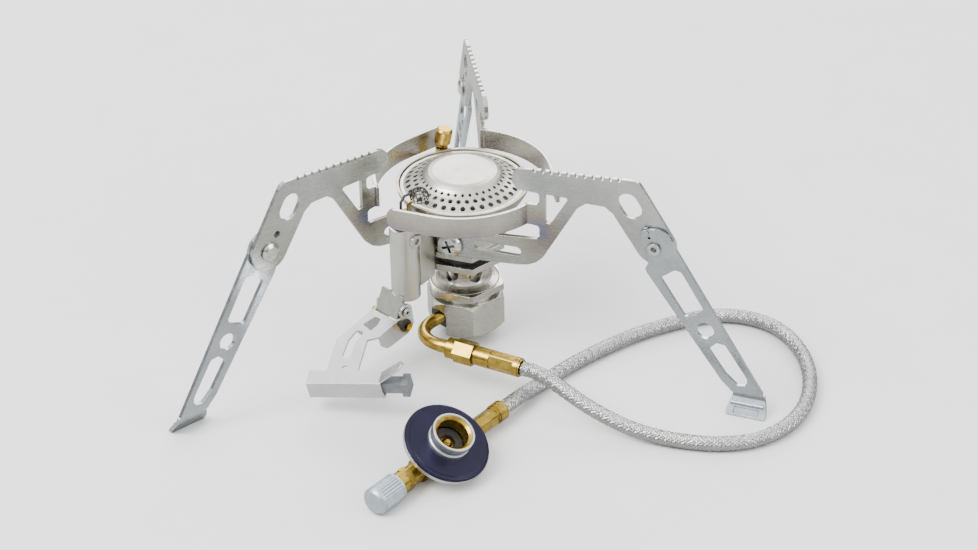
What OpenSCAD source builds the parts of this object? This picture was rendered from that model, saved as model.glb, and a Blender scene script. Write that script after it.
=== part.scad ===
// Folding gas camping stove fed through a braided hose: three stamped folding legs that also
// carry the pan, a perforated burner, a folding piezo igniter and a canister adapter with its tap.
// Millimetres. Z = 0 is the ground under the feet, and the stove's box is centred on the origin.

/* [Stand] */
// Height of the pan support above the ground, at its inner end
pan_z = 82; // [80:0.5:84]
// Direction of the first leg, seen from above
leg_turn = -20.9; // [-30:0.1:-10]
// Thickness of the stamped sheet
sheet = 1.5; // [1:0.1:1.6]
// Distance of a leg's inner face from the burner axis
leg_apothem = 12; // [11.5:0.1:12.2]
// Depth of the pan-grip notches
notch_d = 1.1; // [0.5:0.1:2]

/* [Burner] */
// Radius of the burner rim
burner_r = 23.8; // [22:0.1:25]
// Height of the burner rim
rim_z = 64; // [63:0.1:65]
// Ports in each row
ports = 36; // [24:1:40]
// Radius of the windscreen ring's inner face
ring_r = 30.9; // [30:0.1:32]

/* [Column] */
// Corner radius of the hexagonal parts
hex_r = 15; // [14.5:0.1:15.5]
// Direction of one hexagon corner
hex_turn = -80; // [-86:0.5:-78]
// Outer radius of the mixing tube
tube_r = 7.6; // [7:0.1:8]

/* [Igniter] */
// Slope of the igniter arm below the horizontal
arm_tilt = 13.9; // [8:0.1:15]
// Length of the piezo box
box_l = 27.2; // [25:0.1:28]

/* [Fuel line] */
// Diameter of the braided hose
hose_d = 5.4; // [5:0.1:5.6]
// Radius of the adapter disc
disc_r = 15.3; // [13:0.1:15.4]
// Tilt of the adapter disc
disc_tilt = 29; // [20:1:32]
// Major radius of the canister thread
thread_r = 5.56; // [5.5:0.01:5.6]
// Radius of the control knob
knob_r = 4.85; // [4:0.05:4.9]

/* [Hidden] */
$fn = 48;

// the burner axis, placed so that the stove's own box is centred on the origin
burner_x = -0.4;
burner_y = -28.35;
// height of the stove's own datum above the ground its feet stand on
lift = 6;

// heights in the column
cup_z = [-0.6, 12.8];
neck_top = 15;
flange_top = 17.6;
plate_z = [27.4, 29.7, 32.7, 34.8];
hub_top = 46;
hex_flat = hex_r * cos(30);

// a leg lies in a plane beside the burner axis: u runs outwards along it, v sideways, z up
fold_u = 29.6;
top_slope = 0.067;
pivot = [75.8, 54];
pivot_r = 1.9;
end_r = 7.4;
plate_v = -leg_apothem - sheet;
lower_v = plate_v - 0.1 - sheet;
screw_z = 39.6;
band_z = [53.8, 61.6];
band_turn = 68;
band_tail = 16;

// igniter: the sleeve, and the corner where the arm's hinge edge starts
sleeve = [-20.9, -19];
sleeve_r = 5.25;
sleeve_z = [22.8, 51.6];
hinge_at = [-24.5, -27.4, 17.4];
hinge_turn = -45;
pin_at = [4.1, 1.7];
pin_r = 1.1;
arm_w = 10.6;
gauge = 0.8;
box_turn = 32.6;
box_at = [17.7, -25.9];
box_w = 6.2;
box_d = 8.4;

// fuel line: the elbow leaves the cup, bends and ends in the union, level with the hose's start
elbow_at = [-8.6, -9.0, 6.4];
elbow_turn = -132;
line_turn = -28;
elbow_bend = 11.3;
elbow_r = 2.35;
elbow_lead = 5.2;
elbow_tail = 4.5;
elbow_rise = 4.7;
line_at = [-6, -32, 8.3];
line_l = 29;

// adapter: the valve's axis lies level, and the disc above it leans to the side
valve_at = [-9.5, -83.1, 5];
valve_turn = -130;
ferrule_end = -33.7;

// the hose's route from the burner's ferrule to the adapter's, beside the burner axis, z from the ground
hose_z = hose_d / 2 + 0.1;
hose_route = [
    [19.9, -45.8, 14.3], [23.8, -47.9, 14.3], [28.5, -51.2, 13.6], [34, -55.8, 11.9], [41.2, -60.8, 9],
    [49.2, -65.2, 6.2], [57.5, -69, 4.1], [66.5, -72.4, 3.1], [76.5, -75.2, hose_z], [87, -76.6, hose_z],
    [97, -75.4, hose_z], [106, -71, hose_z], [113.6, -63.6, hose_z], [119, -53.6, hose_z],
    [121.8, -41.6, hose_z], [122, -29.6, hose_z], [119.6, -18, hose_z], [114.9, -8.4, hose_z],
    [107.9, -1.7, hose_z], [99, 1.8, hose_z], [89.6, 2, hose_z], [80, -0.8, hose_z],
    [70, -5, hose_z], [60, -10.5, hose_z], [50, -17.6, hose_z], [41, -24.8, hose_z],
    [32.6, -32.6, hose_z], [25.6, -40.4, 3.1], [19.2, -48.6, 4.6], [12.4, -57, 5]
];

module at_burner() {
    translate([burner_x, burner_y, lift]) children();
}

// the hose and the adapter lie on the ground
module at_ground() {
    translate([burner_x, burner_y, 0]) children();
}

// legs are numbered anticlockwise from the one that points to the right
module leg_frame(k) {
    at_burner() rotate(leg_turn + 120 * (k - 1)) children();
}

// upright sheet in the leg's plane, from v to v + t, drawn as u across and z up
module upright(v, t) {
    translate([0, v + t, 0]) rotate([90, 0, 0]) linear_extrude(t) children();
}

module capsule(a, b, r) {
    hull() {
        translate(a) circle(r, $fn = 24);
        translate(b) circle(r, $fn = 24);
    }
}

module hexagon(r, z0, z1, turn = hex_turn) {
    translate([0, 0, z0]) rotate(turn) cylinder(r = r, h = z1 - z0, $fn = 6);
}

// ---- column ----

module base_cup() {
    color([0.72, 0.72, 0.68]) at_burner() difference() {
        union() {
            intersection() {
                hexagon(hex_r, cup_z[0], cup_z[1]);
                rotate_extrude() polygon([
                    [0, cup_z[0]], [13.1, cup_z[0]], [14.1, cup_z[0] + 0.7],
                    [hex_r, cup_z[0] + 1.7], [hex_r, cup_z[1] - 1.3], [hex_r - 1.6, cup_z[1]], [0, cup_z[1]]
                ]);
            }
            translate([0, 0, cup_z[1] - 0.5]) cylinder(r = 11.6, h = neck_top - cup_z[1] + 0.5);
        }
        translate([0, 0, -1]) cylinder(r = 10, h = 11.4);
        translate([0, 0, 9]) cylinder(r = 3, h = 9);
        rotate(elbow_turn - 8) translate([0, -3.9, -1]) cube([20, 7.8, 7.3]);
        translate([0, 0, 6.3]) rotate(elbow_turn - 8) rotate([0, 90, 0]) cylinder(r = 3.9, h = 20);
    }
}

module hex_flange() {
    color([0.74, 0.74, 0.70]) at_burner() difference() {
        intersection() {
            hexagon(hex_r, neck_top, flange_top);
            translate([0, 0, neck_top]) cylinder(r1 = hex_r + 0.3, r2 = hex_r - 0.5, h = flange_top - neck_top);
        }
        translate([0, 0, neck_top - 1]) cylinder(r = 4.2, h = 5);
    }
}

module mixing_tube() {
    windows = 5;
    color([0.70, 0.69, 0.66]) at_burner() difference() {
        translate([0, 0, flange_top]) rotate_extrude() {
            polygon([
                [4.2, 0], [12.6, 0], [11.8, 0.1], [10.8, 0.35], [9.8, 0.75], [9, 1.3], [8.4, 2],
                [7.95, 2.8], [7.7, 3.7], [tube_r, 4.8],
                [tube_r, 31], [tube_r - 1.1, 31], [tube_r - 1.1, 1.6], [4.2, 1.6]
            ]);
        }
        for (i = [0 : windows - 1]) rotate(-131 + 72 * i) {
            translate([3, -3, plate_z[0] - 4.9]) cube([9, 6, 4.9]);
            translate([3, 0, plate_z[0] - 4.9]) rotate([0, 90, 0]) cylinder(r = 3, h = 9);
        }
    }
}

module hex_plate(z0, z1) {
    color([0.73, 0.73, 0.69]) at_burner() difference() {
        hexagon(hex_r + 0.3, z0, z1);
        translate([0, 0, z0 - 1]) cylinder(r = tube_r + 0.02, h = z1 - z0 + 2);
    }
}

module lower_plate() {
    hex_plate(plate_z[0], plate_z[1]);
}

module upper_plate() {
    hex_plate(plate_z[2], plate_z[3]);
}

module spacer_ring() {
    color([0.06, 0.06, 0.06]) at_burner() translate([0, 0, plate_z[1]]) difference() {
        cylinder(r = 11.5, h = plate_z[2] - plate_z[1]);
        translate([0, 0, -1]) cylinder(r = tube_r + 0.02, h = 9);
    }
}

// the hexagonal hub whose flats carry the legs
module hub() {
    color([0.6, 0.6, 0.57]) at_burner() difference() {
        hexagon(leg_apothem / cos(30), plate_z[3], hub_top, leg_turn);
        translate([0, 0, plate_z[3] - 1]) cylinder(r = tube_r + 0.02, h = 20);
        for (k = [1 : 3]) rotate(leg_turn + 120 * (k - 1)) {
            translate([0, -7, screw_z]) rotate([90, 0, 0]) cylinder(r = 1.6, h = 9);
        }
    }
}

module burner_bowl() {
    rim = rim_z - lift;
    color([0.66, 0.64, 0.60]) at_burner() rotate_extrude($fn = 72) polygon([
        [tube_r + 0.02, hub_top], [10, hub_top], [10.4, 48.5], [18, 50.4], [20.2, 51.7], [21.8, 53.3],
        [burner_r - 0.4, rim - 2], [burner_r, rim], [burner_r - 1, rim],
        [burner_r - 1.4, rim - 2], [20.9, 54.2], [19.4, 52.7], [17.4, 51.4], [tube_r + 0.02, 49.6]
    ]);
}

// pressed cap: a raised flat disc and a sloping belt with three rows of ports
module burner_cap() {
    rows = [[14.6, 0.55], [16.9, 0.85], [19.6, 0.95]];
    color([0.76, 0.75, 0.71]) at_burner() difference() {
        rotate_extrude($fn = 72) polygon([
            [0, 61.9], [10.4, 61.7], [11.8, 61.3], [12.8, 60.6], [13.8, 59.9], [15.5, 59.1],
            [18.4, 57.9], [21.2, 56.6], [22.35, 56.6], [22.35, 57.4], [21.2, 57.4], [18.6, 58.7],
            [15.8, 59.9], [14.3, 60.8], [13.4, 61.7], [12.3, 62.4], [10.6, 62.8], [0, 63]
        ]);
        for (row = [0 : 2]) for (i = [0 : ports - 1]) {
            rotate((i + 0.5 * row) * 360 / ports) translate([rows[row][0], 0, 54]) {
                cylinder(r = rows[row][1], h = 10, $fn = 16);
            }
        }
    }
}

module jet() {
    color([0.75, 0.6, 0.25]) at_burner() difference() {
        union() {
            translate([0, 0, 9.5]) cylinder(r = 3, h = 5.5);
            translate([0, 0, neck_top]) cylinder(r = 4.2, h = 3.6);
            translate([0, 0, 18.6]) cylinder(r1 = 2.6, r2 = 2, h = 0.9);
            hexagon(5.4, 5, 9.9, 0);
        }
        translate([0, 0, 17]) cylinder(r = 0.4, h = 5);
    }
}

// black plug that fills the cup's slot round the elbow
module grommet() {
    color([0.05, 0.05, 0.05]) difference() {
        at_burner() rotate(elbow_turn - 8) {
            translate([10.1, -3.8, 2.8]) cube([2.9, 7.6, 3.5]);
            translate([10.1, 0, 6.3]) rotate([0, 90, 0]) cylinder(r = 3.8, h = 2.9);
        }
        elbow_frame() translate([-6, 0, 0]) rotate([0, 90, 0]) cylinder(r = elbow_r, h = 12);
    }
}

// tube that takes heat from the flame down to the fuel, and its brass cap
module preheat_tube() {
    color([0.66, 0.5, 0.2]) at_burner() translate([-7.7, 26.3, 47.25]) {
        cylinder(r = 1.6, h = 8.4);
        rotate([90, 0, 16.3]) cylinder(r = 1.2, h = 17);
        sphere(r = 1.6);
        translate([0, 0, 8.4]) cylinder(r = 2.3, h = 1.4);
    }
}

module preheat_cap() {
    color([0.78, 0.6, 0.22]) at_burner() translate([-7.7, 26.3, 57.5]) rotate([0, 11, 0]) {
        translate([0, 0, 0.1]) cylinder(r = 2.2, h = 1.1);
        translate([0, 0, 1.2]) cylinder(r1 = 2.6, r2 = 3, h = 0.5);
        translate([0, 0, 1.7]) cylinder(r = 3, h = 4.8);
        translate([0, 0, 6.5]) cylinder(r1 = 3, r2 = 2.3, h = 0.7);
    }
}

// ---- legs ----

module plate_outline() {
    top = pan_z - lift;
    offset(r = -1.2, $fn = 24) offset(r = 1.2, $fn = 24) difference() {
        offset(r = 0.8, $fn = 24) offset(delta = -0.8) polygon([
            [25.9, 67], [23.6, 69.5], [23.4, 71.5], [24, 73.6], [25.6, top - 0.8], [28, top - 0.2], [31, top],
            [64.5, top + 33.5 * top_slope], [67.6, top + 2.4], [69.3, top + 1.7], [70.4, top + 0.4],
            [pivot[0] + end_r * 0.85, pivot[1] + end_r * 0.53],
            [pivot[0], pivot[1] - 2], [pivot[0] - end_r * 0.84, pivot[1] - end_r * 0.55],
            [60.3, 64], [57.3, 66.2], [50.6, 66.2], [47.4, 63.6], [36.6, 44.2], [34.8, 41], [32.2, 38.4],
            [29, 36.8], [25, 36.1], [12, 35.1], [-5, 35.1], [-5, 44.6], [8, 46.2], [33.5, 48.2],
            [33.5, 53.6], [fold_u - 1.4, 53.8], [fold_u - 1.4, 61.9], [33.5, 62.2], [33.5, 67]
        ]);
        translate([24, 62]) square([7.2, 5]);
        translate([20, 48]) square([11.4, 5.8]);
    }
}

module plate_holes() {
    offset(r = 0.7, $fn = 16) polygon([[36.4, 66.3], [43.1, 66.3], [37.2, 56], [36.4, 56]]);
    capsule([10.2, 41.3], [24.9, 41.5], 1.8);
    capsule([65.6, 69.4], [67.1, 67], 3.6);
    for (i = [0 : 10]) translate([31.8 + 3.06 * i, pan_z - lift + (0.8 + 3.06 * i) * top_slope]) {
        rotate(atan(top_slope)) polygon([[-0.8, 0.1], [-0.45, -notch_d], [0.35, -notch_d], [0.65, 0.1]]);
    }
}

// ring arc: it folds off the plate at fold_u, runs clockwise round the burner and ends straight
module ring_band() {
    turn = -atan(leg_apothem / fold_u);
    band_h = band_z[1] - band_z[0];
    translate([0, 0, band_z[0]]) {
        rotate(turn - band_turn) rotate_extrude(angle = band_turn + 1, $fn = 72) {
            translate([ring_r, 0]) square([sheet - 0.4, band_h]);
        }
        rotate(turn - band_turn) translate([ring_r, -band_tail, 0]) {
            difference() {
                cube([sheet - 0.4, band_tail + 0.1, band_h]);
                translate([-1, -0.1, -0.1]) rotate([0, 90, 0]) corner_cut(2.8);
                translate([-1, -0.1, band_h + 0.1]) rotate([0, 90, 0]) mirror([1, 0, 0]) corner_cut(2.8);
            }
        }
    }
}

// removes a square corner and leaves a round one of radius r
module corner_cut(r) {
    translate([-r, 0, 0]) difference() {
        translate([0, -0.1, 0]) cube([r + 0.1, r + 0.1, 4]);
        translate([0, r, -1]) cylinder(r = r, h = 6);
    }
}

module leg_plate(k) {
    color([0.74, 0.76, 0.75]) leg_frame(k) difference() {
        union() {
            upright(plate_v, sheet) difference() {
                union() {
                    plate_outline();
                    translate(pivot) circle(end_r);
                }
                plate_holes();
            }
            ring_band();
        }
        bore_at(pivot, pivot_r);
        bore_at([72.4, 59.6], 1.3);
        bore_at([0, screw_z], 2);
    }
}

// hole or pin across the leg's plane
module bore_at(p, r) {
    translate([p[0], -leg_apothem + 2, p[1]]) rotate([90, 0, 0]) cylinder(r = r, h = 12);
}

// pan head with a crossed recess, its threaded shank in the hub
module leg_screw(k) {
    color([0.7, 0.68, 0.62]) leg_frame(k) translate([0, plate_v, screw_z]) rotate([90, 0, 0]) {
        difference() {
            union() {
                cylinder(r = 4.6, h = 1.1);
                translate([0, 0, 1.1]) cylinder(r1 = 4.6, r2 = 4.1, h = 0.8);
                translate([0, 0, 1.9]) cylinder(r1 = 4.1, r2 = 2.9, h = 0.6);
                translate([0, 0, -sheet]) cylinder(r = 2, h = sheet);
                translate([0, 0, -sheet - 3.8]) cylinder(r = 1.6, h = 3.8);
            }
            for (turn = [20, 110]) rotate(turn) translate([-2.5, -0.5, 0.7]) cube([5, 1, 3]);
        }
    }
}

// domed head on one side, hollow upset end on the other
module leg_rivet(k) {
    color([0.8, 0.8, 0.78]) leg_frame(k) translate([pivot[0], 0, pivot[1]]) rotate([90, 0, 0]) {
        difference() {
            union() {
                translate([0, 0, leg_apothem]) cylinder(r = pivot_r, h = 2 * sheet + 0.2);
                translate([0, 0, leg_apothem - 0.8]) cylinder(r = 3.4, h = 0.8);
                translate([0, 0, leg_apothem - 1.6]) cylinder(r1 = 2.2, r2 = 3.4, h = 0.8);
                translate([0, 0, -lower_v]) cylinder(r = 2.3, h = 0.9);
            }
            translate([0, 0, -lower_v - 1]) cylinder(r = 1.1, h = 3);
        }
    }
}

module lower_outline() {
    intersection() {
        offset(r = -1.4, $fn = 24) offset(r = 1.4, $fn = 24) union() {
            intersection() {
                translate(pivot) circle(7.6);
                polygon([[70.8, 64], [70.8, 57], [73.9, 47.7], [90, 40], [90, 66]]);
            }
            offset(r = 0.9, $fn = 24) offset(delta = -0.9) polygon([
                [76, 54], [73.9, 47.7], [72.7, 45.5], [73.3, 43.9], [101.3, 4.9], [104.9, 1.4],
                [105.8, -1], [105.8, -4], [117.2, -4], [117.2, 0.5], [81.5, 58]
            ]);
        }
        translate([60, 1]) square([70, 70]);
    }
}

module lower_holes() {
    offset(r = 1.1, $fn = 16) {
        polygon([[79.6, 42.4], [83.6, 45.6], [85, 45.4], [92.8, 32.6], [91.4, 31.2], [87.9, 29.8]]);
    }
    translate([94.9, 24.2]) circle(3.2);
    offset(r = 1.1, $fn = 16) {
        polygon([[97.6, 16.8], [99.6, 18.9], [101.6, 18.7], [109.4, 7], [109.6, 5.3], [107.4, 4.9], [103.5, 8.4]]);
    }
}

// side view of the foot panel: it bends out of the sheet and slopes down to the ground
module foot_profile() {
    polygon([
        [lower_v + sheet, 1.6], [lower_v, 1.6], [lower_v, 0.8], [lower_v - 0.4, -0.3],
        [lower_v - 4.5, -lift], [lower_v - 2.65, -lift], [lower_v + 1.1, -0.7], [lower_v + sheet, 0.6]
    ]);
}

module foot_panel() {
    intersection() {
        translate([100, 0, 0]) rotate([90, 0, 90]) linear_extrude(24) foot_profile();
        upright(lower_v - 6, 9) offset(r = 1.6, $fn = 24) offset(delta = -1.6) polygon([
            [105.8, 6], [105.8, 0.2], [105.4, -0.8], [104.5, -3.8], [104.3, -lift - 0.5],
            [118.7, -lift - 0.5], [118.5, -3.8], [117.6, -0.8], [117.2, 0.2], [117.2, 6]
        ]);
    }
    translate([105.6, lower_v - 1.5, -2.3]) rotate([0, 90, 0]) cylinder(r = 0.8, h = 11.8, $fn = 24);
}

// lower leg: one stamped sheet, its foot panel and the raised dimple of its latch
module lower_leg(k) {
    color([0.66, 0.69, 0.70]) leg_frame(k) difference() {
        union() {
            upright(lower_v, sheet) difference() {
                lower_outline();
                lower_holes();
            }
            foot_panel();
            translate([72.4, lower_v + 0.1, 59.6]) rotate([90, 0, 0]) cylinder(r = 1.3, h = 0.55);
        }
        bore_at(pivot, pivot_r + 0.04);
        bore_at([73.9, 57.9], 0.5);
        translate([107, lower_v - 3.2, -4.2]) rotate([54.3, 0, 0]) {
            translate([0, -1.2, -0.35]) cube([9, 2.4, 1.3]);
        }
    }
}

// ---- igniter ----

module igniter_sleeve() {
    color([0.74, 0.75, 0.71]) at_burner() translate([sleeve[0], sleeve[1], 0]) difference() {
        translate([0, 0, sleeve_z[0]]) cylinder(r = sleeve_r, h = sleeve_z[1] - sleeve_z[0]);
        translate([0, 0, sleeve_z[0] - 1]) cylinder(r = sleeve_r - gauge, h = 40);
    }
}

// room for the sleeve in what is fixed to it
module sleeve_cut() {
    at_burner() translate([sleeve[0], sleeve[1], sleeve_z[0] - 0.01]) cylinder(r = sleeve_r + 0.01, h = 40);
}

// folded sheet that joins the sleeve to the hub
module igniter_bracket() {
    n = leg_turn - 90;
    flat_turn = [cos(n), sin(n)];
    along = [-sin(n), cos(n)];
    tip = 14.7 * flat_turn - 6.3 * along;
    foot = 12 * flat_turn - 6.3 * along;
    near = sleeve + (sleeve_r + 0.2) * [cos(12), sin(12)];
    color([0.66, 0.66, 0.62]) difference() {
        at_burner() {
            translate([0, 0, 26]) linear_extrude(21) hull() {
                translate(near) circle(0.5, $fn = 12);
                translate(tip) circle(0.5, $fn = 12);
            }
            translate([0, 0, 36]) linear_extrude(9) hull() {
                translate(tip) circle(0.5, $fn = 12);
                translate(foot + 0.5 * flat_turn) circle(0.5, $fn = 12);
            }
        }
        sleeve_cut();
    }
}

module sleeve_eyelet() {
    color([0.7, 0.68, 0.6]) difference() {
        at_burner() translate([sleeve[0], sleeve[1], 47.2]) rotate(-42) {
            translate([sleeve_r - 0.6, 0, 0]) rotate([0, 90, 0]) difference() {
                cylinder(r = 2.3, h = 1.5);
                translate([0, 0, 0.8]) cylinder(r = 1.1, h = 2);
            }
        }
        sleeve_cut();
    }
}

module ceramic() {
    color([0.92, 0.9, 0.84]) at_burner() translate([-19.2, -19.8, 0]) {
        translate([0, 0, 30]) cylinder(r = 1.6, h = 25.5);
        translate([0, 0, 30]) cylinder(r = 2.4, h = 12);
    }
}

module electrode() {
    color([0.75, 0.58, 0.2]) at_burner() {
        translate([-19.2, -19.8, 55.5]) cylinder(r = 0.5, h = 4.5);
        hull() {
            translate([-19.2, -19.8, 60]) sphere(r = 0.5, $fn = 16);
            translate([-17.6, -20.2, 62]) sphere(r = 0.5, $fn = 16);
        }
    }
}

// wire-mesh cup that guards the spark gap
module spark_cup() {
    color([0.2, 0.2, 0.2]) at_burner() translate([-15.1, -15.6, 61.3]) rotate([12, -10, 0]) {
        difference() {
            intersection() {
                sphere(r = 3.5);
                translate([-4, -4, -0.8]) cube([8, 8, 6]);
            }
            sphere(r = 3);
        }
    }
}

// bent wire and tab that hold the cup to the ring
module cup_clip() {
    wire = [[-21.7, -19.6, 57.4], [-21.6, -19, 61], [-20.2, -18, 63], [-18.2, -16.9, 63.2]];
    color([0.3, 0.28, 0.26]) at_burner() {
        for (i = [0 : 2]) hull() {
            translate(wire[i]) sphere(r = 0.5, $fn = 16);
            translate(wire[i + 1]) sphere(r = 0.5, $fn = 16);
        }
        translate([-21.7, -19.6, 51.6]) cylinder(r = 0.7, h = 6);
        translate([-23.7, -20.2, 51.6]) cube([2.6, 1.2, 5.4]);
    }
}

// the hinge edge starts at its right end: x runs along the hinge, y inwards and z up
module hinge_frame() {
    at_burner() translate(hinge_at) rotate(hinge_turn) children();
}

module side_sheet(x0, x1) {
    translate([x0, 0, 0]) rotate([90, 0, 90]) linear_extrude(x1 - x0) children();
}

// U of sheet under the sleeve: a sloping face and two ears round the pin
module hinge_bracket() {
    ear = [-0.95, -0.1];
    far = [-arm_w + 0.1, -arm_w + 0.95];
    color([0.78, 0.79, 0.76]) difference() {
        hinge_frame() {
            side_sheet(far[0], ear[1]) polygon([[0, 0], [0.85, 0], [4.35, 7.6], [3.5, 8]]);
            for (x = [ear, far]) side_sheet(x[0], x[1]) {
                polygon([[0.1, 0], [5.6, 0], [6.2, 1.7], [5.6, 3.6], [4.4, 5.2], [2.4, 5.2]]);
            }
        }
        hinge_frame() pin_bore(pin_r);
        sleeve_cut();
    }
}

module pin_bore(r) {
    translate([-20, pin_at[0], pin_at[1]]) rotate([0, 90, 0]) cylinder(r = r, h = 30);
}

module hinge_pin() {
    color([0.72, 0.66, 0.5]) hinge_frame() difference() {
        translate([-arm_w - 1.7, pin_at[0], pin_at[1]]) rotate([0, 90, 0]) {
            translate([0, 0, 0.4]) cylinder(r = pin_r, h = arm_w + 2.6);
            cylinder(r = 1.6, h = 0.6);
            translate([0, 0, arm_w + 2.8]) cylinder(r = 1.6, h = 0.6);
        }
        translate([0.9, pin_at[0], pin_at[1]]) rotate([0, 90, 0]) cylinder(r = 0.6, h = 2);
    }
}

// the arm at its slope: x along the hinge, -y out along the arm, z up from its sheet
module arm_frame() {
    hinge_frame() rotate([arm_tilt, 0, 0]) children();
}

module box_frame() {
    arm_frame() translate([box_at[0], box_at[1], 0]) rotate(box_turn) children();
}

module arm_outline() {
    offset(r = 0.8, $fn = 16) offset(delta = -0.8) polygon([
        [0.8, -0.6], [0.8, -9.8], [-1.8, -13], [7.1, -26.8], [-2.6, -33],
        [-11.4, -19], [-arm_w - 0.8, -14], [-arm_w - 0.8, -0.6]
    ]);
}

module arm_openings() {
    capsule([-6.9, -12.4], [-6.2, -16], 1.6);
    capsule([-6.2, -16], [-2.7, -22.4], 1.6);
    translate([1, -27.2]) circle(0.9);
    offset(r = 0.6, $fn = 16) polygon([[-8.3, -7.8], [-4.6, -8.4], [-4.6, -5.6], [-5.6, -3.4], [-7.4, -3.4]]);
}

module flange_outline() {
    offset(r = 1.4, $fn = 24) offset(delta = -1.4) polygon([
        [-9.5, 0], [-9.7, -4.9], [-7.6, -7.6], [-5.6, -8], [3.2, -8.6], [6.4, -6.6], [7.4, 0], [0, 0]
    ]);
    translate([4.39, 0.67]) circle(3);
}

// one folded sheet: the hinge channel, the arm, the piezo box and the earth tongue
module igniter_arm() {
    color([0.86, 0.87, 0.87]) difference() {
        union() {
            arm_frame() {
                translate([0, 0, -gauge]) linear_extrude(gauge) difference() {
                    arm_outline();
                    arm_openings();
                }
                for (x = [0, -arm_w - gauge]) side_sheet(x, x + gauge) flange_outline();
            }
            box_frame() difference() {
                box_solid(box_l, box_w, box_d, 1.3);
                translate([gauge, gauge, -gauge]) box_solid(box_l, box_w - 2 * gauge, box_d - 2 * gauge, 0.8);
            }
            box_frame() tongue();
        }
        hinge_frame() pin_bore(pin_r + 0.04);
        arm_frame() translate([1, -27.2, -gauge - 0.1]) cylinder(r = 0.9, h = gauge + 0.2);
    }
}

module box_solid(l, w, d, chamfer) {
    translate([-l, 0, 0]) rotate([90, 0, 90]) linear_extrude(l) polygon([
        [0, 0], [w, 0], [w, -d + chamfer], [w - chamfer, -d], [chamfer, -d], [0, -d + chamfer]
    ]);
}

module tongue() {
    translate([-0.5, 0.6, -0.4]) rotate([0, -37, 0]) translate([0, 0, -0.4]) linear_extrude(gauge) {
        polygon([[0, 0], [0, 5], [10.4, 4.4], [11.8, 3.3], [11.8, 1.7], [10.4, 0.6]]);
    }
}

module piezo_body() {
    gap = gauge + 0.03;
    color([0.12, 0.12, 0.12]) box_frame() translate([-box_l + 15, gap, -gap]) {
        box_solid(13, box_w - 2 * gap, box_d - 2 * gap, 0.8);
    }
}

// sliding T-headed button at the open end of the box
module push_button() {
    color([0.4, 0.42, 0.44]) box_frame() {
        translate([-8, 1.1, -5.9]) cube([15, box_w - 2.2, 4.5]);
        translate([7, 0.2, -6.7]) cube([2.6, box_w - 0.4, 5.8]);
    }
}

module contact_insulator() {
    color([0.05, 0.05, 0.05]) arm_frame() {
        translate([gauge, 2.6, -4.4]) rotate([0, 90, 0]) cylinder(r = 2.4, h = 0.5);
        translate([gauge, 0.9, -2.4]) rotate([0, 90, 0]) cylinder(r = 1.2, h = 1);
    }
}

module contact_stud() {
    color([0.75, 0.58, 0.2]) arm_frame() {
        translate([gauge + 0.5, 2.9, -4.9]) rotate([0, 90, 0]) cylinder(r = 1.3, h = 1.3);
        translate([-arm_w - gauge - 1.5, 0.9, -1.6]) rotate([0, 90, 0]) cylinder(r = 1, h = 1.5);
    }
}

// ---- fuel line ----

module elbow_frame() {
    at_burner() translate(elbow_at) rotate([-elbow_rise, 0, 0]) rotate(elbow_turn) children();
}

module elbow() {
    bend = line_turn - elbow_turn;
    color([0.66, 0.52, 0.2]) {
        elbow_frame() {
            translate([-4, 0, 0]) rotate([0, 90, 0]) cylinder(r = elbow_r, h = elbow_lead + 4);
            translate([elbow_lead, elbow_bend, 0]) rotate(-90) rotate_extrude(angle = bend) {
                translate([elbow_bend, 0]) circle(elbow_r);
            }
            translate([elbow_lead, elbow_bend, 0]) rotate(bend - 90) translate([elbow_bend, -0.5, 0]) {
                rotate([-90, 0, 0]) cylinder(r = elbow_r + 0.1, h = elbow_tail + 0.5);
            }
        }
    }
}

// along the union and the ferrule, from the elbow's end
module line_frame() {
    at_burner() translate(line_at) rotate(line_turn) rotate([0, 90, 0]) children();
}

module union_nut() {
    color([0.7, 0.55, 0.2]) line_frame() difference() {
        union() {
            cylinder(r = 3.8, h = 3.2);
            translate([0, 0, 3.2]) rotate(15) cylinder(r = 4.5, h = 7.3, $fn = 6);
            translate([0, 0, 10.5]) cylinder(r = 3.2, h = 0.7);
        }
        translate([0, 0, -1]) cylinder(r = elbow_r + 0.1, h = 3);
    }
}

module hose_ferrule() {
    color([0.72, 0.6, 0.25]) line_frame() difference() {
        translate([0, 0, 11.2]) {
            cylinder(r = 3.5, h = line_l - 11.2 - 0.6);
            translate([0, 0, line_l - 11.8]) cylinder(r = 3.2, h = 0.6);
        }
        for (turn = [0 : 60 : 300]) rotate(turn) {
            translate([3.15, -5, 17]) cube([4, 10, 9.5]);
        }
    }
}

// smooth curve through the route, one ring of points every two or three diameters
function slope(p, i) = i == 0 ? p[1] - p[0] : (
    i == len(p) - 1 ? p[i] - p[i - 1] : (p[i + 1] - p[i - 1]) / 2
);
function curve_at(p, i, t) =
    p[i] * (2 * t * t * t - 3 * t * t + 1) + slope(p, i) * (t * t * t - 2 * t * t + t)
    + p[i + 1] * (3 * t * t - 2 * t * t * t) + slope(p, i + 1) * (t * t * t - t * t);
function unit(v) = v / norm(v);
function ring_points(centre, dir, r, sides) = let (
    across = unit(cross(dir, [0, 0, 1])),
    up = cross(across, dir)
) [for (j = [0 : sides - 1]) centre + r * (cos(360 * j / sides) * across + sin(360 * j / sides) * up)];

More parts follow.
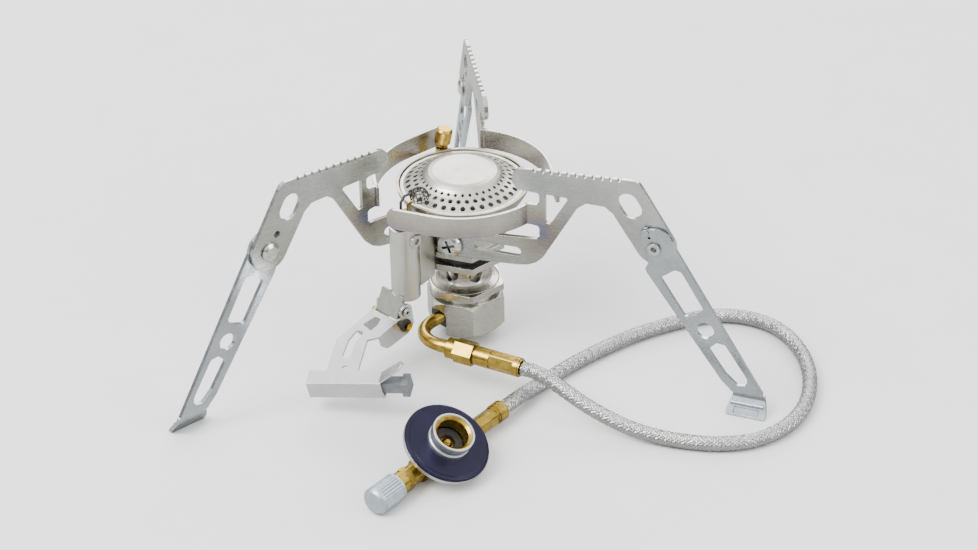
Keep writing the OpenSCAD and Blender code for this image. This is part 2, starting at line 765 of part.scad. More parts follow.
module swept_tube(route, r, sides) {
    last = len(route) - 1;
    centres = [for (i = [0 : last - 1]) each [route[i], curve_at(route, i, 0.5)], route[last]];
    n = len(centres);
    points = [for (i = [0 : n - 1]) each ring_points(
        centres[i], unit(centres[min(i + 1, n - 1)] - centres[max(i - 1, 0)]), r, sides
    )];
    walls = [for (i = [0 : n - 2], j = [0 : sides - 1]) let (k = (j + 1) % sides) each [
        [i * sides + j, i * sides + k, (i + 1) * sides + k],
        [i * sides + j, (i + 1) * sides + k, (i + 1) * sides + j]
    ]];
    start = [for (j = [sides - 1 : -1 : 0]) j];
    end = [for (j = [0 : sides - 1]) (n - 1) * sides + j];
    polyhedron(points, concat([start], walls, [end]));
}

module hose() {
    color([0.62, 0.62, 0.6]) at_ground() swept_tube(hose_route, hose_d / 2, 10);
}

// ---- adapter ----

// x runs along the valve to its knob, z stands on the disc
module valve_frame() {
    at_ground() translate(valve_at) rotate(valve_turn) rotate([-disc_tilt, 0, 0]) children();
}

module along_valve(x0, x1, r, fn = 48) {
    translate([x0, 0, 0]) rotate([0, 90, 0]) cylinder(r = r, h = x1 - x0, $fn = fn);
}

module adapter_ferrule() {
    color([0.7, 0.57, 0.22]) valve_frame() difference() {
        union() {
            along_valve(ferrule_end, ferrule_end + 4, 3.6);
            along_valve(ferrule_end + 4, -17, 3.35);
            along_valve(-17, -9, 2.8);
        }
        for (turn = [0 : 60 : 300]) rotate([turn, 0, 0]) {
            translate([ferrule_end + 5, -5, 3.05]) cube([9, 10, 4]);
        }
    }
}

module valve_body() {
    color([0.66, 0.52, 0.2]) valve_frame() difference() {
        union() {
            along_valve(-9, 11, 4.4);
            along_valve(11, 16, 3.6);
            along_valve(16, 18.6, 4.3, 6);
            along_valve(18.6, 21.8, 3.9);
            cylinder(r = 6.2, h = 5.8);
        }
        along_valve(7, 23, 1.9);
    }
}

module lower_disc() {
    color([0.78, 0.8, 0.8]) valve_frame() translate([0, 0, 5.8]) difference() {
        union() {
            cylinder(r1 = disc_r - 0.5, r2 = disc_r, h = 0.4);
            translate([0, 0, 0.4]) cylinder(r = disc_r, h = 1.3);
        }
        translate([0, 0, -1]) cylinder(r = 4, h = 4);
    }
}

module blue_disc() {
    color([0.08, 0.09, 0.3]) valve_frame() translate([0, 0, 7.5]) rotate_extrude($fn = 72) polygon([
        [6.8, 0], [disc_r - 0.1, 0], [disc_r, 0.5], [disc_r - 0.3, 1], [disc_r - 1.2, 1.25],
        [disc_r - 1.9, 1.1], [7, 1.5], [6.8, 1.5]
    ]);
}

module thread_collar() {
    color([0.82, 0.84, 0.85]) valve_frame() translate([0, 0, 9]) difference() {
        union() {
            cylinder(r = 7.5, h = 1.6);
            translate([0, 0, 1.6]) cylinder(r1 = 7.5, r2 = 7.1, h = 0.5);
            translate([0, 0, 2.1]) cylinder(r = 7.1, h = 1.4);
            translate([0, 0, 3.5]) cylinder(r1 = 7.1, r2 = 7.5, h = 0.4);
            translate([0, 0, 3.9]) cylinder(r = 7.5, h = 2);
        }
        translate([0, 0, -1]) cylinder(r = 6.8, h = 8);
    }
}

// female canister thread, with a lead-in at its mouth and a groove round the seal
module thread_insert() {
    color([0.78, 0.62, 0.25]) valve_frame() translate([0, 0, 7.5]) difference() {
        cylinder(r = 6.8, h = 7.2);
        translate([0, 0, -1]) cylinder(r = 5.9, h = 2.8);
        translate([0, 0, 1]) cylinder(r = thread_r, h = 7);
        translate([0, 0, 6.4]) cylinder(r1 = thread_r, r2 = 6.5, h = 0.81);
    }
}

module adapter_seal() {
    color([0.05, 0.05, 0.05]) valve_frame() translate([0, 0, 7.5]) difference() {
        cylinder(r = 5.3, h = 1.5);
        translate([0, 0, -1]) cylinder(r = 2.6, h = 4);
    }
}

module valve_pin() {
    color([0.8, 0.62, 0.25]) valve_frame() {
        translate([0, 0, 5.8]) cylinder(r = 2.5, h = 2);
        translate([0, 0, 7.8]) cylinder(r1 = 1.9, r2 = 1, h = 0.8);
        translate([0, 0, 8.6]) cylinder(r = 0.8, h = 0.6);
    }
}

module valve_spindle() {
    color([0.7, 0.56, 0.24]) valve_frame() {
        along_valve(11, 26.5, 1.85);
        translate([8.4, 0, 0]) rotate([0, 90, 0]) cylinder(r1 = 0.4, r2 = 1.85, h = 2.6);
    }
}

module control_knob() {
    flutes = 28;
    color([0.68, 0.73, 0.76]) valve_frame() difference() {
        union() {
            along_valve(22.2, 32.8, knob_r);
            translate([32.8, 0, 0]) rotate([0, 90, 0]) cylinder(r1 = knob_r, r2 = knob_r - 0.8, h = 0.8);
        }
        along_valve(21, 26.5, 1.85);
        for (i = [0 : flutes - 1]) rotate([i * 360 / flutes, 0, 0]) {
            translate([23.2, 0, knob_r + 0.05]) rotate([45, 0, 0]) translate([0, -0.22, -0.22]) {
                cube([8.4, 0.44, 0.44]);
            }
        }
    }
}

base_cup();
hex_flange();
mixing_tube();
lower_plate();
spacer_ring();
upper_plate();
hub();
burner_bowl();
burner_cap();
jet();
grommet();
preheat_tube();
preheat_cap();
leg_plate(1);  // leg_plate_1
leg_plate(2);  // leg_plate_2
leg_plate(3);  // leg_plate_3
leg_screw(1);  // leg_screw_1
leg_screw(2);  // leg_screw_2
leg_screw(3);  // leg_screw_3
leg_rivet(1);  // leg_rivet_1
leg_rivet(2);  // leg_rivet_2
leg_rivet(3);  // leg_rivet_3
lower_leg(1);  // lower_leg_1
lower_leg(2);  // lower_leg_2
lower_leg(3);  // lower_leg_3
igniter_sleeve();
igniter_bracket();
sleeve_eyelet();
ceramic();
electrode();
spark_cup();
cup_clip();
hinge_bracket();
hinge_pin();
igniter_arm();
piezo_body();
contact_insulator();
contact_stud();
push_button();
elbow();
union_nut();
hose_ferrule();
hose();
adapter_ferrule();
valve_body();
lower_disc();
blue_disc();
thread_collar();
thread_insert();
adapter_seal();
valve_pin();
valve_spindle();
control_knob();
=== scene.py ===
import math

import bpy
import numpy as np
from mathutils import Matrix, Vector


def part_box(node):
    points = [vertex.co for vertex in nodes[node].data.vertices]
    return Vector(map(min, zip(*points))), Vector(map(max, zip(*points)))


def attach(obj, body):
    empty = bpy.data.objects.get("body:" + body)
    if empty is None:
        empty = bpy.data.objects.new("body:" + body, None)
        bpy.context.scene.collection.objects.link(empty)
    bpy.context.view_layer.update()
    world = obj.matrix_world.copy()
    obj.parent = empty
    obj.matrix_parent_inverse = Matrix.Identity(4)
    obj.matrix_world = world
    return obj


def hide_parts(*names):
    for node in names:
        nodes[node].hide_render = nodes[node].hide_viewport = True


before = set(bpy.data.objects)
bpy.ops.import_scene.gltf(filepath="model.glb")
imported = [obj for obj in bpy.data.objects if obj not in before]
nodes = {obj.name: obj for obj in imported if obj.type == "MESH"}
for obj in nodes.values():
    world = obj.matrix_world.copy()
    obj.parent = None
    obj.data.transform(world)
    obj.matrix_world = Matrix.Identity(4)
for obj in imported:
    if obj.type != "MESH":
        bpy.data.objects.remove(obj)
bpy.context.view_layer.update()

# where the burner's axis stands: the middle of its round rim
_lo, _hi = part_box("burner_bowl")
AXIS = Vector(((_lo.x + _hi.x) / 2, (_lo.y + _hi.y) / 2, 0))


# ---- camera: looks along +Y and down, with a slight roll ----
CAM_AT = Vector((0.0087, -0.781, 0.5288))
CAM_PITCH = math.radians(57.12)
CAM_ROLL = math.radians(-1.04)
cam_data = bpy.data.cameras.new("camera")
cam_data.lens = 94.1
cam_data.sensor_width = 36
cam = bpy.data.objects.new("camera", cam_data)
bpy.context.scene.collection.objects.link(cam)
cam.matrix_world = (
    Matrix.Translation(AXIS + CAM_AT)
    @ Matrix.Rotation(CAM_PITCH, 4, "X")
    @ Matrix.Rotation(CAM_ROLL, 4, "Z")
)
bpy.context.scene.camera = cam


# ---- mesh helpers ----
# faces that meet at more than these angles keep a crisp edge
CREASE = math.radians(38)
CAD_CREASE = math.radians(28)


def new_object(name, verts, faces, body, material, smooth=True):
    mesh = bpy.data.meshes.new(name)
    mesh.from_pydata([tuple(v) for v in verts], [], [tuple(f) for f in faces])
    mesh.update()
    if smooth:
        mesh.polygons.foreach_set("use_smooth", [True] * len(mesh.polygons))
        mesh.set_sharp_from_angle(angle=CREASE)
    mesh.materials.append(material)
    piece = bpy.data.objects.new(name, mesh)
    bpy.context.scene.collection.objects.link(piece)
    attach(piece, body)
    return piece


def curve_through(points, step):
    """Smooth line through the points, evenly spaced."""
    p = np.array(points, float)
    n = len(p)
    slope = np.empty_like(p)
    slope[1:-1] = (p[2:] - p[:-2]) / 2
    slope[0] = p[1] - p[0]
    slope[-1] = p[-1] - p[-2]
    fine = []
    for i in range(n - 1):
        for t in np.arange(0, 1, 0.05):
            fine.append(
                p[i] * (2 * t**3 - 3 * t * t + 1)
                + slope[i] * (t**3 - 2 * t * t + t)
                + p[i + 1] * (3 * t * t - 2 * t**3)
                + slope[i + 1] * (t**3 - t * t)
            )
    fine.append(p[-1])
    fine = np.array(fine)
    s = np.concatenate([[0], np.cumsum(np.linalg.norm(np.diff(fine, axis=0), axis=1))])
    at = np.linspace(0, s[-1], int(round(s[-1] / step)) + 1)
    return np.stack([np.interp(at, s, fine[:, k]) for k in range(3)], axis=1), s[-1]


def frames_along(line):
    """Directions across the line that turn as little as they can."""
    t = np.gradient(line, axis=0)
    t /= np.linalg.norm(t, axis=1)[:, None]
    u = np.empty_like(t)
    first = np.cross(t[0], [0, 0, 1.0])
    u[0] = first / np.linalg.norm(first)
    for i in range(1, len(t)):
        v = u[i - 1] - t[i] * np.dot(u[i - 1], t[i])
        u[i] = v / np.linalg.norm(v)
    return t, u, np.cross(t, u)


def tube(line, radius, sides=16, close=True):
    t, u, w = frames_along(line)
    a = np.linspace(0, 2 * math.pi, sides, endpoint=False)
    ring = radius * (np.cos(a)[None, :, None] * u[:, None] + np.sin(a)[None, :, None] * w[:, None])
    verts = (line[:, None] + ring).reshape(-1, 3)
    faces = []
    for i in range(len(line) - 1):
        for j in range(sides):
            k = (j + 1) % sides
            faces.append((i * sides + j, i * sides + k, (i + 1) * sides + k, (i + 1) * sides + j))
    if close:
        faces.append(tuple(range(sides - 1, -1, -1)))
        last = (len(line) - 1) * sides
        faces.append(tuple(range(last, last + sides)))
    return verts, faces


# ---- material helpers ----
def material(name):
    m = bpy.data.materials.new(name)
    m.use_nodes = True
    tree = m.node_tree
    bsdf = tree.nodes["Principled BSDF"]
    return m, tree, bsdf


def add(tree, kind, **values):
    node = tree.nodes.new(kind)
    for key, value in values.items():
        if key in node.inputs:
            node.inputs[key].default_value = value
        else:
            setattr(node, key, value)
    return node


def coords(tree, scale=(1, 1, 1), turn=0.0):
    """Object coordinates in metres, turned about the vertical and stretched."""
    source = add(tree, "ShaderNodeTexCoord")
    spin = add(tree, "ShaderNodeMapping")
    spin.inputs["Rotation"].default_value = (0, 0, turn)
    stretch = add(tree, "ShaderNodeMapping")
    stretch.inputs["Scale"].default_value = scale
    tree.links.new(source.outputs["Object"], spin.inputs["Vector"])
    tree.links.new(spin.outputs["Vector"], stretch.inputs["Vector"])
    return stretch.outputs["Vector"]


def noise(tree, vector, scale, detail=3.0, rough=0.55):
    n = add(tree, "ShaderNodeTexNoise", Scale=scale, Detail=detail, Roughness=rough)
    tree.links.new(vector, n.inputs["Vector"])
    return n.outputs["Fac"]


def ramp(tree, value, stops):
    r = add(tree, "ShaderNodeValToRGB")
    elements = r.color_ramp.elements
    while len(elements) < len(stops):
        elements.new(0.5)
    for e, (at, colour) in zip(elements, stops):
        e.position = at
        e.color = (*colour, 1.0)
    tree.links.new(value, r.inputs["Fac"])
    return r.outputs["Color"]


def span(tree, value, low, high, from_low=0.3, from_high=0.7):
    r = add(tree, "ShaderNodeMapRange")
    r.inputs["From Min"].default_value = from_low
    r.inputs["From Max"].default_value = from_high
    r.inputs["To Min"].default_value = low
    r.inputs["To Max"].default_value = high
    tree.links.new(value, r.inputs["Value"])
    return r.outputs["Result"]


def bump(tree, bsdf, value, strength, distance, edge=0.0):
    b = add(tree, "ShaderNodeBump")
    b.inputs["Strength"].default_value = strength
    b.inputs["Distance"].default_value = distance
    tree.links.new(value, b.inputs["Height"])
    if edge:
        soft = add(tree, "ShaderNodeBevel", samples=4)
        soft.inputs["Radius"].default_value = edge
        tree.links.new(soft.outputs["Normal"], b.inputs["Normal"])
    tree.links.new(b.outputs["Normal"], bsdf.inputs["Normal"])


def mix_over(tree, amount, base, over):
    """Lays a colour, or another node's colour, over the base by the amount."""
    mix = add(tree, "ShaderNodeMix", data_type="RGBA")
    tree.links.new(amount, mix.inputs[0])
    tree.links.new(base, mix.inputs[6])
    if isinstance(over, tuple):
        mix.inputs[7].default_value = (*over, 1)
    else:
        tree.links.new(over, mix.inputs[7])
    return mix.outputs[2]


def painted_corner_shade(tree, base, reach=0.0014, dark=0.22):
    """Painted shade: darkens the colour in recesses and inside corners, by ambient occlusion."""
    ao = add(tree, "ShaderNodeAmbientOcclusion", samples=6)
    ao.inputs["Distance"].default_value = reach
    mix = add(tree, "ShaderNodeMix", data_type="RGBA", blend_type="MULTIPLY")
    mix.inputs[0].default_value = 1.0
    tree.links.new(base, mix.inputs[6])
    shade = ramp(tree, ao.outputs["AO"], [(0.25, (dark, dark, dark)), (0.9, (1.0, 1.0, 1.0))])
    tree.links.new(shade, mix.inputs[7])
    return mix.outputs[2]


def math_node(tree, kind, first, second=None):
    m = add(tree, "ShaderNodeMath", operation=kind)
    for socket, value in ((0, first), (1, second)):
        if isinstance(value, (int, float)):
            m.inputs[socket].default_value = value
        elif value is not None:
            tree.links.new(value, m.inputs[socket])
    return m.outputs[0]


def heat_tint(tree, base, strength):
    """Straw, brown and blue bands where the sheet passes the burner's rim."""
    source = add(tree, "ShaderNodeTexCoord")
    shift = add(tree, "ShaderNodeVectorMath", operation="SUBTRACT")
    tree.links.new(source.outputs["Object"], shift.inputs[0])
    shift.inputs[1].default_value = AXIS
    split = add(tree, "ShaderNodeSeparateXYZ")
    tree.links.new(shift.outputs["Vector"], split.inputs["Vector"])
    x2 = math_node(tree, "MULTIPLY", split.outputs["X"], split.outputs["X"])
    y2 = math_node(tree, "MULTIPLY", split.outputs["Y"], split.outputs["Y"])
    out = math_node(tree, "SQRT", math_node(tree, "ADD", x2, y2))
    off = math_node(tree, "SUBTRACT", out, HEAT_AT[0])
    up = math_node(tree, "SUBTRACT", split.outputs["Z"], HEAT_AT[1])
    off2 = math_node(tree, "MULTIPLY", off, off)
    up2 = math_node(tree, "MULTIPLY", up, up)
    away = math_node(tree, "SQRT", math_node(tree, "ADD", off2, up2))
    ragged = math_node(tree, "MULTIPLY", noise(tree, coords(tree), 160, 3.0, 0.6), 0.006)
    away = math_node(tree, "ADD", away, ragged)
    tone = ramp(tree, span(tree, away, 0.0, 1.0, 0.004, 0.015),
                [(0.0, (0.20, 0.25, 0.42)), (0.4, (0.40, 0.30, 0.27)), (0.8, (0.56, 0.48, 0.33))])
    amount = span(tree, away, strength, 0.0, 0.006, 0.016)
    return mix_over(tree, amount, base, tone)


def brushed(name, dark, light, rough=(0.26, 0.42), grain=(30, 30, 2500), turn=0.0, edge=0.00025,
            stain=None, stain_amount=0.35, depth=0.00002, heat=0.0):
    """Metal with a fine grain, slow changes of tone, stains and edges that catch the light."""
    m, tree, bsdf = material(name)
    bsdf.inputs["Metallic"].default_value = 1.0
    slow = noise(tree, coords(tree), 55, 4.0, 0.6)
    base = ramp(tree, slow, [(0.3, dark), (0.7, light)])
    if stain:
        blot = noise(tree, coords(tree), 130, 5.0, 0.62)
        amount = span(tree, blot, 0.0, stain_amount, 0.52, 0.72)
        base = mix_over(tree, amount, base, stain)
    if heat:
        base = heat_tint(tree, base, heat)
    # painted shade: the colour is darkened in recesses and inside corners
    base = painted_corner_shade(tree, base)
    tree.links.new(base, bsdf.inputs["Base Color"])
    fine = noise(tree, coords(tree, grain, turn), 1.0, 2.0, 0.5)
    tree.links.new(span(tree, fine, rough[0], rough[1], 0.25, 0.75), bsdf.inputs["Roughness"])
    bump(tree, bsdf, fine, 0.12, depth, edge)
    return m


def turned(name, dark, light, rough=(0.2, 0.34), edge=0.0002, stain=None, stain_amount=0.4):
    """Lathe-turned metal: soft blotches and a fine machined texture."""
    m, tree, bsdf = material(name)
    bsdf.inputs["Metallic"].default_value = 1.0
    blot = noise(tree, coords(tree), 260, 4.0, 0.6)
    base = ramp(tree, blot, [(0.3, dark), (0.68, light)])
    if stain:
        far = noise(tree, coords(tree), 90, 5.0, 0.65)
        amount = span(tree, far, 0.0, stain_amount, 0.5, 0.72)
        base = mix_over(tree, amount, base, stain)
    # painted shade: the colour is darkened in recesses and inside corners
    base = painted_corner_shade(tree, base)
    tree.links.new(base, bsdf.inputs["Base Color"])
    fine = noise(tree, coords(tree, (1, 1, 1)), 2600, 2.0, 0.5)
    tree.links.new(span(tree, blot, rough[0], rough[1], 0.3, 0.7), bsdf.inputs["Roughness"])
    bump(tree, bsdf, fine, 0.3, 0.00002, edge)
    return m


def moulded(name, dark, light, rough=(0.42, 0.6), scale=1800, edge=0.0003):
    """Moulded rubber or plastic with a fine pebbled skin."""
    m, tree, bsdf = material(name)
    slow = noise(tree, coords(tree), 320, 3.0, 0.6)
    tree.links.new(ramp(tree, slow, [(0.3, dark), (0.7, light)]), bsdf.inputs["Base Color"])
    fine = noise(tree, coords(tree), scale, 3.0, 0.6)
    tree.links.new(span(tree, fine, rough[0], rough[1]), bsdf.inputs["Roughness"])
    bump(tree, bsdf, fine, 0.35, 0.00004, edge)
    return m


# ---- materials ----
HEAT_AT = (0.0355, 0.0575)  # distance from the axis, and height, of the hottest part of the ring
LEG_TURN = math.radians(-20.9)
GRAIN_TURNS = [-(LEG_TURN + math.radians(120) * k) for k in range(3)]
leg_steel = []
for k, turn in enumerate(GRAIN_TURNS):
    leg_steel.append(
        brushed(f"leg_steel_{k + 1}", (0.44, 0.46, 0.44), (0.64, 0.66, 0.63), (0.20, 0.34),
                (40, 600, 900), turn, 0.0003, (0.34, 0.31, 0.26), 0.25, heat=0.8)
    )
lower_steel = []
for k, turn in enumerate(GRAIN_TURNS):
    lower_steel.append(
        brushed(f"lower_steel_{k + 1}", (0.38, 0.42, 0.46), (0.60, 0.64, 0.67), (0.18, 0.32),
                (300, 500, 300), turn, 0.0003, (0.30, 0.32, 0.35), 0.3)
    )
nickel = brushed("nickel", (0.48, 0.47, 0.42), (0.66, 0.65, 0.59), (0.18, 0.32), (150, 150, 900),
                 edge=0.00035, stain=(0.34, 0.31, 0.25), stain_amount=0.3)
tube_steel = brushed("tube_steel", (0.32, 0.30, 0.26), (0.54, 0.52, 0.47), (0.2, 0.34), (200, 200, 900),
                     stain=(0.22, 0.18, 0.13), stain_amount=0.4)
sleeve_steel = brushed("sleeve_steel", (0.62, 0.62, 0.57), (0.74, 0.74, 0.69), (0.28, 0.42), (900, 900, 60),
                       stain=(0.48, 0.46, 0.38), stain_amount=0.3)
burner_steel = brushed("burner_steel", (0.56, 0.55, 0.50), (0.74, 0.73, 0.67), (0.3, 0.46), (1500, 1500, 300),
                       edge=0.0002, stain=(0.42, 0.37, 0.28), stain_amount=0.4)
bowl_steel = brushed("bowl_steel", (0.30, 0.27, 0.22), (0.52, 0.49, 0.42), (0.22, 0.38), (200, 200, 2400),
                     stain=(0.22, 0.17, 0.11), stain_amount=0.5)
arm_steel = brushed("arm_steel", (0.80, 0.81, 0.82), (0.92, 0.93, 0.93), (0.16, 0.30), (300, 300, 300),
                    edge=0.0003, stain=(0.6, 0.61, 0.62), stain_amount=0.3)
brass = turned("brass", (0.35, 0.23, 0.035), (0.64, 0.45, 0.09), (0.16, 0.30), 0.0002,
               (0.22, 0.13, 0.03), 0.5)
cap_brass = turned("cap_brass", (0.46, 0.28, 0.05), (0.72, 0.48, 0.11), (0.18, 0.32), 0.0003,
                   (0.28, 0.13, 0.04), 0.5)
dark_wire = turned("dark_wire", (0.05, 0.045, 0.04), (0.14, 0.13, 0.12), (0.3, 0.5), 0.0001)
plain_alu = turned("plain_aluminium", (0.62, 0.65, 0.67), (0.78, 0.80, 0.82), (0.3, 0.44), 0.00025)
knob_alu = turned("knob_aluminium", (0.50, 0.58, 0.64), (0.66, 0.74, 0.80), (0.36, 0.5), 0.0001)
braid_wire = turned("braid_wire", (0.46, 0.46, 0.46), (0.60, 0.60, 0.60), (0.22, 0.30), 0.0)
rivet_steel = turned("rivet_steel", (0.58, 0.59, 0.58), (0.82, 0.82, 0.80), (0.1, 0.2), 0.0003)
rubber = moulded("black_rubber", (0.012, 0.012, 0.012), (0.03, 0.03, 0.03), (0.5, 0.7))
black_plastic = moulded("black_plastic", (0.012, 0.012, 0.014), (0.03, 0.03, 0.032), (0.35, 0.5))
grey_plastic = moulded("grey_plastic", (0.13, 0.145, 0.155), (0.20, 0.215, 0.23), (0.38, 0.52), 1400)
ceramic = moulded("glazed_ceramic", (0.80, 0.78, 0.72), (0.90, 0.89, 0.84), (0.15, 0.28), 900)


def blue_anodised():
    """Dark blue anodised aluminium with the fine rings a lathe leaves round the disc's centre."""
    m, tree, bsdf = material("blue_aluminium")
    bsdf.inputs["Metallic"].default_value = 0.55
    bsdf.inputs["Coat Weight"].default_value = 0.12
    bsdf.inputs["Coat Roughness"].default_value = 0.22
    slow = noise(tree, coords(tree), 180, 4.0, 0.6)
    tree.links.new(
        ramp(tree, slow, [(0.3, (0.004, 0.003, 0.018)), (0.7, (0.008, 0.006, 0.036))]),
        bsdf.inputs["Base Color"],
    )
    lo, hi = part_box("blue_disc")
    centre = (lo + hi) / 2
    source = add(tree, "ShaderNodeTexCoord")
    away = add(tree, "ShaderNodeVectorMath", operation="DISTANCE")
    tree.links.new(source.outputs["Object"], away.inputs[0])
    away.inputs[1].default_value = centre
    rings = add(tree, "ShaderNodeMath", operation="MULTIPLY")
    rings.inputs[1].default_value = 9000
    tree.links.new(away.outputs["Value"], rings.inputs[0])
    wave = add(tree, "ShaderNodeMath", operation="SINE")
    tree.links.new(rings.outputs[0], wave.inputs[0])
    fine = noise(tree, coords(tree), 1500, 3.0, 0.6)
    tree.links.new(span(tree, fine, 0.3, 0.42), bsdf.inputs["Roughness"])
    bump(tree, bsdf, wave.outputs[0], 0.12, 0.00001, 0.0003)
    return m


blue_alu = blue_anodised()


def paint(name, made):
    slots = nodes[name].material_slots
    for s in slots:
        s.material = made
    if not slots:
        nodes[name].data.materials.append(made)


for k in range(3):
    paint(f"leg_plate_{k + 1}", leg_steel[k])
    paint(f"lower_leg_{k + 1}", lower_steel[k])
    paint(f"leg_screw_{k + 1}", rivet_steel)
    paint(f"leg_rivet_{k + 1}", rivet_steel)
for name in ("base_cup", "hex_flange", "lower_plate", "upper_plate", "hub"):
    paint(name, nickel)
for name in ("igniter_sleeve", "igniter_bracket", "sleeve_eyelet", "hinge_bracket"):
    paint(name, sleeve_steel)
paint("mixing_tube", tube_steel)
paint("burner_bowl", bowl_steel)
paint("burner_cap", burner_steel)
for name in ("spacer_ring", "grommet", "adapter_seal"):
    paint(name, rubber)
for name in ("piezo_body", "contact_insulator"):
    paint(name, black_plastic)
for name in ("jet", "elbow", "union_nut", "hose_ferrule", "adapter_ferrule", "valve_body", "thread_insert",
             "valve_pin", "valve_spindle", "electrode", "contact_stud", "preheat_tube"):
    paint(name, brass)
paint("preheat_cap", cap_brass)
for name in ("spark_cup", "cup_clip"):
    paint(name, dark_wire)
paint("hinge_pin", rivet_steel)
paint("ceramic", ceramic)
paint("igniter_arm", arm_steel)
paint("push_button", grey_plastic)
for name in ("lower_disc", "thread_collar"):
    paint(name, plain_alu)
paint("blue_disc", blue_alu)
paint("control_knob", knob_alu)

# curved CAD faces shade smooth, and their edges stay crisp
for o in nodes.values():
    mesh = o.data
    mesh.polygons.foreach_set("use_smooth", [True] * len(mesh.polygons))
    mesh.set_sharp_from_angle(angle=CAD_CREASE)


# ---- hose: a liner under a braid of interlaced wire ribbons ----
HOSE_R = 0.0027
HOSE_Z = 0.0028
ROUTE = [
    (0.0199, -0.0458, 0.0143), (0.0238, -0.0479, 0.0143), (0.0285, -0.0512, 0.0136),
    (0.034, -0.0558, 0.0119), (0.0412, -0.0608, 0.009), (0.0492, -0.0652, 0.0062),
    (0.0575, -0.069, 0.0041), (0.0665, -0.0724, 0.0031), (0.0765, -0.0752, HOSE_Z), (0.087, -0.0766, HOSE_Z),
    (0.097, -0.0754, HOSE_Z), (0.106, -0.071, HOSE_Z), (0.1136, -0.0636, HOSE_Z), (0.119, -0.0536, HOSE_Z),
    (0.1218, -0.0416, HOSE_Z), (0.122, -0.0296, HOSE_Z), (0.1196, -0.018, HOSE_Z), (0.1149, -0.0084, HOSE_Z),
    (0.1079, -0.0017, HOSE_Z), (0.099, 0.0018, HOSE_Z), (0.0896, 0.002, HOSE_Z), (0.080, -0.0008, HOSE_Z),
    (0.070, -0.005, HOSE_Z), (0.060, -0.0105, HOSE_Z), (0.050, -0.0176, HOSE_Z), (0.041, -0.0248, HOSE_Z),
    (0.0326, -0.0326, HOSE_Z), (0.0256, -0.0404, 0.0031), (0.0192, -0.0486, 0.0046), (0.0124, -0.057, 0.005),
]
STRANDS = 11
PITCH = 0.0165
HOSE_STEP = 0.00042
hose_line, hose_length = curve_through([Vector(p) + AXIS for p in ROUTE], HOSE_STEP)


def braid(line, length):
    """A dark liner, and ribbons that wind both ways and pass over and under each other."""
    t, u, w = frames_along(line)
    n = len(line)
    s = np.linspace(0, length, n)
    verts, faces = tube(line, HOSE_R - 0.0004, 20)
    verts = [tuple(v) for v in verts]
    liner_faces = len(faces)
    half = math.pi / STRANDS * 0.78
    for way in (1, -1):
        for i in range(STRANDS):
            turn = 2 * math.pi * i / STRANDS + way * 2 * math.pi * s / PITCH
            crossing = STRANDS * 2 * math.pi * s / PITCH + math.pi * i
            lift = way * 0.00012 * np.sin(crossing)
            start = len(verts)
            for side, drop in ((-1, 0.00014), (-0.45, 0.0), (0.45, 0.0), (1, 0.00014)):
                a = turn + side * half
                r = HOSE_R - 0.00012 + lift - drop
                ring = line + (r * np.cos(a))[:, None] * u + (r * np.sin(a))[:, None] * w
                verts.extend(map(tuple, ring))
            for c in range(3):
                for j in range(n - 1):
                    a0 = start + c * n + j
                    b0 = start + (c + 1) * n + j
                    faces.append((a0, b0, b0 + 1, a0 + 1))
    return verts, faces, liner_faces


verts, faces, liner_faces = braid(hose_line, hose_length)
hose = new_object("hose_braid", verts, faces, "stove", braid_wire)
hose.data.materials.append(rubber)
for i in range(liner_faces):
    hose.data.polygons[i].material_index = 1
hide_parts("hose")


# ---- spark cup: a hemisphere of woven wire round the spark gap ----
def wire_cup():
    turn = Matrix.Translation(AXIS + Vector((-0.0151, -0.0156, 0.0673)))
    turn = turn @ Matrix.Rotation(math.radians(-10), 4, "Y") @ Matrix.Rotation(math.radians(12), 4, "X")
    r = 0.00328
    low = -0.0006
    lines = []
    for z in (low, 0.0006, 0.0018):
        out = math.sqrt(r * r - z * z)
        lines.append([(out * math.cos(a), out * math.sin(a), z) for a in np.linspace(0, 2 * math.pi, 33)])
    for shift in (-0.0019, -0.00063, 0.00063, 0.0019):
        wide = math.sqrt(r * r - shift * shift)
        sweep = np.linspace(math.asin(low / wide), math.pi - math.asin(low / wide), 25)
        arc = [(wide * math.cos(a), wide * math.sin(a)) for a in sweep]
        lines.append([(x, shift, z) for x, z in arc])
        lines.append([(shift, x, z) for x, z in arc])
    verts, faces = [], []
    for line in lines:
        v, f = tube(np.array([tuple(turn @ Vector(p)) for p in line]), 0.00019, 8)
        faces += [tuple(len(verts) + i for i in face) for face in f]
        verts += [tuple(x) for x in v]
    piece = new_object("spark_mesh", verts, faces, "stove", dark_wire)
    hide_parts("spark_cup")


wire_cup()


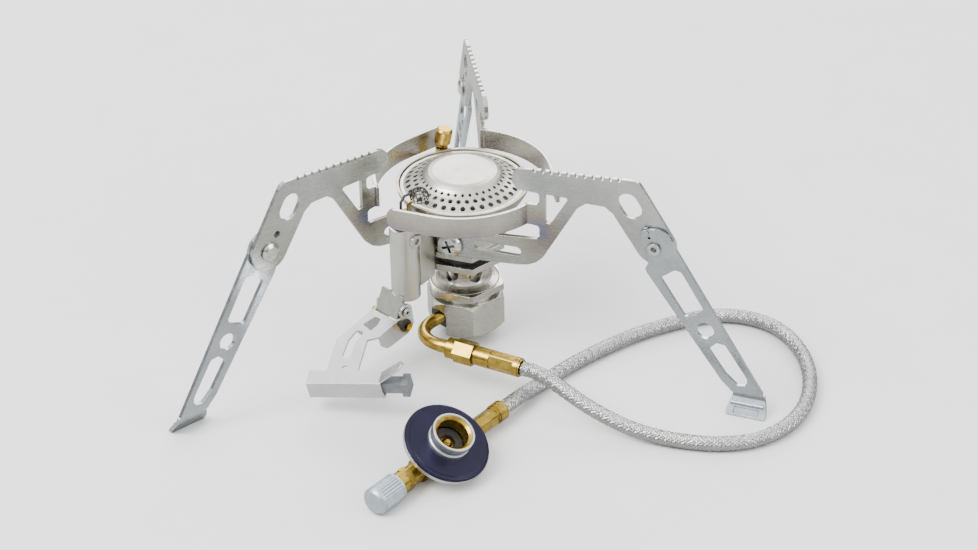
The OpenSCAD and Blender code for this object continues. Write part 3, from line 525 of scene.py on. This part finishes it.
# ---- floor and light ----
def floor():
    mesh = bpy.data.meshes.new("floor")
    h = 3.0
    mesh.from_pydata([(-h, -h, 0), (h, -h, 0), (h, h, 0), (-h, h, 0)], [], [(0, 1, 2, 3)])
    o = bpy.data.objects.new("floor", mesh)
    bpy.context.scene.collection.objects.link(o)
    m, tree, bsdf = material("floor")
    fine = noise(tree, coords(tree), 40, 2.0)
    white = ramp(tree, fine, [(0.3, (0.90, 0.90, 0.90)), (0.7, (0.92, 0.92, 0.92))])
    bsdf.inputs["Roughness"].default_value = 0.9
    bsdf.inputs["Specular IOR Level"].default_value = 0.1
    # polished metal sees a greyer floor, which gives it its contrast
    path = add(tree, "ShaderNodeLightPath")
    grey = add(tree, "ShaderNodeMix", data_type="RGBA")
    tree.links.new(path.outputs["Is Glossy Ray"], grey.inputs[0])
    tree.links.new(white, grey.inputs[6])
    grey.inputs[7].default_value = (0.42, 0.42, 0.41, 1)
    tree.links.new(grey.outputs[2], bsdf.inputs["Base Color"])
    mesh.materials.append(m)


floor()


def lamp(name, at, aim, size, power, tone=(1, 1, 1)):
    data = bpy.data.lights.new(name, "AREA")
    data.shape = "RECTANGLE"
    data.size = size[0]
    data.size_y = size[1]
    data.energy = power
    data.color = tone
    o = bpy.data.objects.new(name, data)
    bpy.context.scene.collection.objects.link(o)
    o.location = at
    o.rotation_euler = (Vector(aim) - Vector(at)).to_track_quat("-Z", "Y").to_euler()


lamp("key", (-0.9, -0.5, 1.3), (0, 0, 0.03), (0.9, 0.9), 30)
lamp("fill", (1.3, -0.7, 0.7), (0, 0, 0.03), (0.9, 0.7), 9)
lamp("back", (0.2, 1.3, 0.9), (0, 0, 0.03), (1.4, 0.5), 13)
world = bpy.data.worlds.new("studio")
world.use_nodes = True
bpy.context.scene.world = world
tree = world.node_tree
background = tree.nodes["Background"]
source = tree.nodes.new("ShaderNodeTexCoord")
parts = tree.nodes.new("ShaderNodeSeparateXYZ")
tree.links.new(source.outputs["Generated"], parts.inputs["Vector"])
sky = tree.nodes.new("ShaderNodeValToRGB")
for at, shade in ((0.0, 0.7), (0.45, 0.6), (0.53, 0.12), (0.64, 0.30), (0.8, 1.0)):
    e = sky.color_ramp.elements.new(at) if at else sky.color_ramp.elements[0]
    e.position = at
    e.color = (shade, shade, shade, 1)
height = tree.nodes.new("ShaderNodeMapRange")
height.inputs["From Min"].default_value = -1
height.inputs["From Max"].default_value = 1
tree.links.new(parts.outputs["Z"], height.inputs["Value"])
tree.links.new(height.outputs["Result"], sky.inputs["Fac"])
tree.links.new(sky.outputs["Color"], background.inputs["Color"])
background.inputs["Strength"].default_value = 1.75
